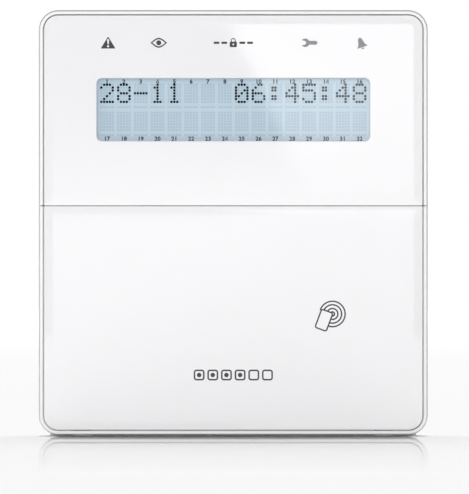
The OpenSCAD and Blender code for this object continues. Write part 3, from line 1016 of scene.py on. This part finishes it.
def key_legend(node, x, y, back):
    """Legend of a key: a digit, a sign or an arrow."""
    if node in ARROW_TURNS:
        arrow = [(-1.9, -1.2), (1.9, -1.2), (0, 1.7)]
        return flat([turned(arrow, math.radians(ARROW_TURNS[node]), x, y)], back)
    text = KEY_LEGENDS.get(node, node[-1])
    if text == "4":
        return four(x, y, LEGEND_H, back)
    return number(text, x, y, LEGEND_H * SIGN_SHARE.get(text, 1), back)


def key_caps():
    """Keys: a flange behind the deck and a cap with round edges and a shallow sunk field."""
    for node in KEYS:
        low, high = face_box(node)
        x, y = middle(node)[:2]
        w, h = span(node)
        back, front = low[2], high[2]
        foot = centred(x, y, w, h, FLANGE_R)
        rings = [level(foot, back), level(foot, back + FLANGE)]
        profile = [(0, back + FLANGE), (CAP_DRAFT, front - 0.7)]
        profile += [(CAP_DRAFT + CAP_EDGE * (1 - math.cos(a)), front - CAP_EDGE * (1 - math.sin(a)))
                    for a in [QUARTER * i / 6 for i in range(1, 7)]]
        profile += [(0.85, front - 0.03), (1.1, front - 0.1), (1.5, front - 0.17), (2.1, front - DISH)]
        for inset, d in profile:
            r = max(CAP_R - inset, 0.9)
            shrink = 2 * (FLANGE + inset)
            rings.append(level(centred(x, y, w - shrink, h - shrink, r), d))
        cap = smooth(loft(rings), 40)
        faces = len(cap.polygons)
        body = smooth(gathered(cap, key_legend(node, x, y, front - DISH)), 40)
        obj = piece(node + "_cap", body, ["key", "legend"], node, "key_plastic", node)
        for polygon in obj.data.polygons[faces:]:
            polygon.material_index = 1


MAT_T = 0.8
LIGHT_R = 1.5
LIGHT_XS = (-24, 0, 24)


def dome_rings(x, y, back, front):
    """Rings of a rubber dome: a foot, a cone-shaped skirt and a flat-topped plunger."""
    profile = [(3.2, back), (3.15, back + 0.15), (2.85, back + 0.3), (2.1, front - 0.6), (2.0, front - 0.4),
               (2.0, front - 0.12), (1.88, front)]
    return [level(circle(x, y, r, 40), d) for r, d in profile]


def keypad_mat():
    """Silicone mat: a sheet with light holes, and a dome under each key."""
    low, high = face_box("keypad_mat")
    sheet_front = low[2] + MAT_T
    cx, cy = middle("keypad_mat")[:2]
    outline = centred(cx, cy, *span("keypad_mat"), 2)
    rows = sorted({round(middle(k)[1], 3) for k in KEYS})
    holes = [prism(circle(x, (y0 + y1) / 2, LIGHT_R, 28), low[2] - PAST, sheet_front + PAST)
             for x in LIGHT_XS for y0, y1 in zip(rows, rows[1:])]
    mat = cut(prism(outline, low[2], sheet_front), gathered(*holes))
    piece("mat_sheet", eased(mat, 0.12), "mat", "housing", "silicone", "keypad_mat")
    for node in KEYS:
        x, y = middle(node)[:2]
        dome = piece("dome_" + node[4:], smooth(loft(dome_rings(x, y, sheet_front, high[2]))),
                     "mat", "housing", "silicone", "keypad_mat")
        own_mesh(dome)


WIRE_R = 0.22
WIRE_SIDES = 10
COILS = 6
COIL_STEPS = 32


def tamper_spring():
    """Coil spring of the wall tamper."""
    low, high = face_box("tamper_spring")
    cx, cy = middle("tamper_spring")[:2]
    r = (high[0] - low[0]) / 2 - WIRE_R
    back, front = low[2] + WIRE_R, high[2] - WIRE_R
    steps = COILS * COIL_STEPS
    along = Vector((0, 0, 1))
    rings = []
    for i in range(steps + 1):
        share = i / steps
        angle = FULL * COILS * share
        climb = share + 0.06 * math.sin(FULL * share) / FULL * 2  # closer coils at both ends
        out = Vector((math.cos(angle), math.sin(angle), 0))
        core = Vector((cx, cy, back + (front - back) * climb)) + out * r
        rings.append([tuple(core + out * WIRE_R * math.cos(a) + along * WIRE_R * math.sin(a))
                      for a in [FULL * k / WIRE_SIDES for k in range(WIRE_SIDES)]])
    coil = smooth(loft(rings), 50)
    spring = piece("tamper_coil", coil, "spring", "housing", "spring_steel", "tamper_spring")
    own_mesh(spring)


# ---- CAD pieces that stay ----

KEPT = {  # material, and width of the rounding on its edges
    "back_plate": ("plate", 0.25),
    "light_guides": ("guide", 0.12),
    "lcd_bezel": ("bezel", 0.1),
    "lcd_backlight": ("guide", 0.15),
    "lcd_board": ("board", 0.08),
    "lcd_header": ("black", 0.08),
    "lcd_gasket": ("foam", 0.1),
    "main_board": ("board", 0.08),
    "status_leds": ("led", 0.12),
    "key_leds": ("led", 0.08),
    "sounder": ("black", 0.4),
    "reader_coil": ("coil", 0.25),
    "terminal_block": ("terminal", 0.15),
    "terminal_screws": ("zinc", 0.08),
    "program_header": ("black", 0.08),
    "controller_chip": ("black", 0.1),
    "reader_chip": ("black", 0.1),
    "capacitors": ("can", 0.3),
    "supply_inductor": ("black", 0.2),
    "tamper_switch": ("black", 0.2),
    "tamper_plunger": ("key", 0.2),
    "board_screws": ("zinc", 0.1),
    "case_screw": ("zinc", 0.1),
    "hinge_pins": ("zinc", 0.1),
}


def finish_kept():
    """Materials and eased edges for the CAD pieces that stay."""
    for node, (material, width) in KEPT.items():
        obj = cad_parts[node]
        for slot in obj.material_slots:
            slot.material = M[material]
        weld = obj.modifiers.new("weld", "WELD")
        weld.merge_threshold = 0.002 * MM
        bevel = obj.modifiers.new("ease", "BEVEL")
        bevel.width = width * MM
        bevel.segments = 2
        bevel.limit_method = "ANGLE"
        bevel.angle_limit = EASE_ANGLE
        bevel.harden_normals = True


# ---- Stage ----

FLOOR_GAP = 0.4  # the floor lies this far below the panel, so that a dark line shows under it
FLOOR_Z = (-TOP - FLOOR_GAP) * MM
ROOM_LIGHT = 0.32  # light from all round
BACKDROP = 1.0
SURROUND = 0.05  # what glossy surfaces mirror, but for the white backdrop straight behind
SURROUND_COSINES = (0.985, 0.998)  # how nearly straight back: dark below, white above
MIRROR_NEAR = 0.68  # share of the floor's polish at the panel's front
MIRROR_FAR = 0.03
MIRROR_END = -0.5  # where it has faded, in front of the panel


def light_world():
    """White backdrop, softer light from all round, and dark surroundings for the gloss."""
    world = bpy.data.worlds.new("studio")
    world.use_nodes = True
    nodes, links = world.node_tree.nodes, world.node_tree.links

    def spread(value, start, end, low, high):
        node = nodes.new("ShaderNodeMapRange")
        for socket, each in zip(node.inputs, (value, start, end, low, high)):
            supply(links, socket, each)
        return node.outputs[0]

    path = nodes.new("ShaderNodeLightPath")
    way = nodes.new("ShaderNodeSeparateXYZ")
    links.new(nodes.new("ShaderNodeTexCoord").outputs["Generated"], way.inputs[0])
    mirrored = spread(way.outputs[1], *SURROUND_COSINES, SURROUND, BACKDROP)
    strength = spread(path.outputs["Is Glossy Ray"], 0, 1, ROOM_LIGHT, mirrored)
    strength = spread(path.outputs["Is Camera Ray"], 0, 1, strength, BACKDROP)
    background = nodes["Background"]
    background.inputs[0].default_value = (1, 1, 1, 1)
    links.new(strength, background.inputs[1])
    bpy.context.scene.world = world
    bpy.context.scene.view_settings.view_transform = "Standard"


def area_light(name, place, target, size, power):
    """Soft square light at a place, aimed at a point."""
    light = bpy.data.lights.new(name, "AREA")
    light.size = size
    light.energy = power
    return light, place, Vector(target) - Vector(place)


def sun_light(name, towards, spread, strength):
    """Even light from far away, as soft as its spread across the sky, in degrees."""
    light = bpy.data.lights.new(name, "SUN")
    light.energy = strength
    light.angle = math.radians(spread)
    return light, (0, 0, 0), Vector(towards)


def hang(light, place, towards, floor, state):
    """Puts up a light, unseen itself, that shines on the floor only or on all but the floor."""
    obj = shown(light.name, light)
    obj.location = place
    obj.rotation_euler = towards.to_track_quat("-Z", "Y").to_euler()
    obj.visible_camera = False
    obj.visible_glossy = False
    receivers = bpy.data.collections.new(light.name + "_receivers")
    receivers.objects.link(floor)
    receivers.collection_objects[0].light_linking.link_state = state
    obj.light_linking.receiver_collection = receivers


def floor_material():
    """White floor whose polish mirrors the panel's foot and fades in front; matt below the panel."""
    s = Surface("floor")
    tone = s.blend(s.spread(s.noise(900, 0), 0, 1), (0.93, 0.93, 0.93), (0.94, 0.94, 0.94))
    matt = s.feed(s.add("ShaderNodeBsdfDiffuse"), Color=tone)
    polish = s.feed(s.add("ShaderNodeBsdfAnisotropic"), Roughness=0.01, Color=(0.95, 0.95, 0.95, 1))
    split = s.feed(s.add("ShaderNodeSeparateXYZ"), Vector=s.place)
    x, y = split.outputs[0], split.outputs[1]
    near = s.spread(y, MIRROR_FAR, MIRROR_NEAR, MIRROR_END, -FRONT * MM)
    aside = s.math("GREATER_THAN", s.math("ABSOLUTE", x), SIDE * MM)
    ahead = s.math("LESS_THAN", y, -FRONT * MM)
    open_floor = s.math("MAXIMUM", s.math("MAXIMUM", aside, ahead), s.math("GREATER_THAN", y, 0.0))
    grazing = s.feed(s.add("ShaderNodeFresnel"), IOR=1.4).outputs[0]
    return s.mix(s.times(s.times(near, open_floor), grazing), matt, polish)


KEY_LIGHT = 1.54
KEY_TOWARDS = (0.1, 0.97, -0.2)  # down from the upper left
KEY_SPREAD = 25
FOOT_PLACE = (-0.05, -0.22, -0.05)
FOOT_TARGET = (0, 0, -0.04)
FOOT_POWER = 0.05
FLOOR_LIGHT = 3.2
FLOOR_TOWARDS = (0, -0.743, -0.669)  # down from behind
FLOOR_SPREAD = 90
FAR_PLACE = (0, 5.5, 1.3)
FAR_TARGET = (0, 5.5, 0)
FAR_POWER = 50

SQUARE = ((-1, -1), (1, -1), (1, 1), (-1, 1))
FLOOR_HALF = 6


def staged(name, corners, material):
    """A sheet between four corners, with its material: the floor and the glare card."""
    mesh = bpy.data.meshes.new(name)
    mesh.from_pydata(corners, [], [(0, 1, 2, 3)])
    mesh.materials.append(material)
    obj = shown(name, mesh)
    return obj


def add_floor():
    """Plain pale floor that the panel stands on."""
    corners = [(a * FLOOR_HALF, b * FLOOR_HALF, FLOOR_Z) for a, b in SQUARE]
    return staged("floor", corners, floor_material())


def add_lights():
    """Floor, two soft lights on the panel only, and two from behind that light only the floor."""
    floor = add_floor()
    hang(*sun_light("key_light", KEY_TOWARDS, KEY_SPREAD, KEY_LIGHT), floor, "EXCLUDE")
    hang(*area_light("foot_light", FOOT_PLACE, FOOT_TARGET, 0.03, FOOT_POWER), floor, "EXCLUDE")
    hang(*sun_light("floor_light", FLOOR_TOWARDS, FLOOR_SPREAD, FLOOR_LIGHT), floor, "INCLUDE")
    hang(*area_light("far_light", FAR_PLACE, FAR_TARGET, 3, FAR_POWER), floor, "INCLUDE")


CARD_DISTANCE = 3.3
CARD_HALF = 0.2  # as it lies on the panel

# The glare as it lies on the panel, in metres
GLARE_SLOPE = 0.456  # how far its edge moves to the right for each step down
GLARE_X = 0.0115  # where the edge crosses the display's middle
GLARE_SOFT = 0.0025
GLARE_LOW_Z = -0.004  # all of it is as bright as the floor below this height
GLARE_HIGH_Z = 0.046
GLARE_BRIGHT = 1.5
GLARE_FLOOR = 0.95


def glare_card():
    """Card behind the camera that the glossy sheets mirror: bright, and dark at its upper left."""
    grow = 1 + CARD_DISTANCE / CAMERA_DISTANCE
    s = Surface("glare")
    mapping = s.feed(s.add("ShaderNodeMapping"), Vector=s.place)
    s.feed(mapping, Scale=(1 / grow,) * 3, Location=(CAMERA_X, 0, CAMERA_Z))
    split = s.feed(s.add("ShaderNodeSeparateXYZ"), Vector=mapping.outputs[0])
    x, z = split.outputs[0], split.outputs[2]
    across = s.math("ADD", x, s.times(z, GLARE_SLOPE))
    edge = GLARE_X + GLARE_SLOPE * WINDOW_Y * MM
    right = s.spread(across, 0, 1, edge - GLARE_SOFT, edge + GLARE_SOFT, "SMOOTHSTEP")
    above = s.spread(z, 0, 1, GLARE_LOW_Z, GLARE_HIGH_Z, "SMOOTHSTEP")
    high = s.times(s.times(right, above), GLARE_BRIGHT)
    low = s.times(s.math("SUBTRACT", 1.0, above), GLARE_FLOOR)
    strength = s.math("ADD", high, low)
    for axis, reach in ((x, SIDE * MM), (z, TOP * MM)):
        off = s.spread(s.math("ABSOLUTE", axis), 0, 1, reach, reach * 1.25, "SMOOTHSTEP")
        strength = s.times(strength, s.math("SUBTRACT", 1.0, off))
    glow = s.shader("ShaderNodeEmission", Strength=strength)
    half = CARD_HALF * grow
    obj = staged("glare_card", [(a * half, 0, b * half) for a, b in SQUARE], glow)
    obj.location = (CAMERA_X, -FRONT * MM - CARD_DISTANCE, CAMERA_Z)
    obj.visible_camera = False
    obj.visible_shadow = False


# ---- Making ----

light_world()
add_lights()
glare_card()
case_shell()
face_sheets()
flap_shell()
window_pane()
display_panel()
status_marks()
flap_marks()
key_caps()
keypad_mat()
tamper_spring()
finish_kept()
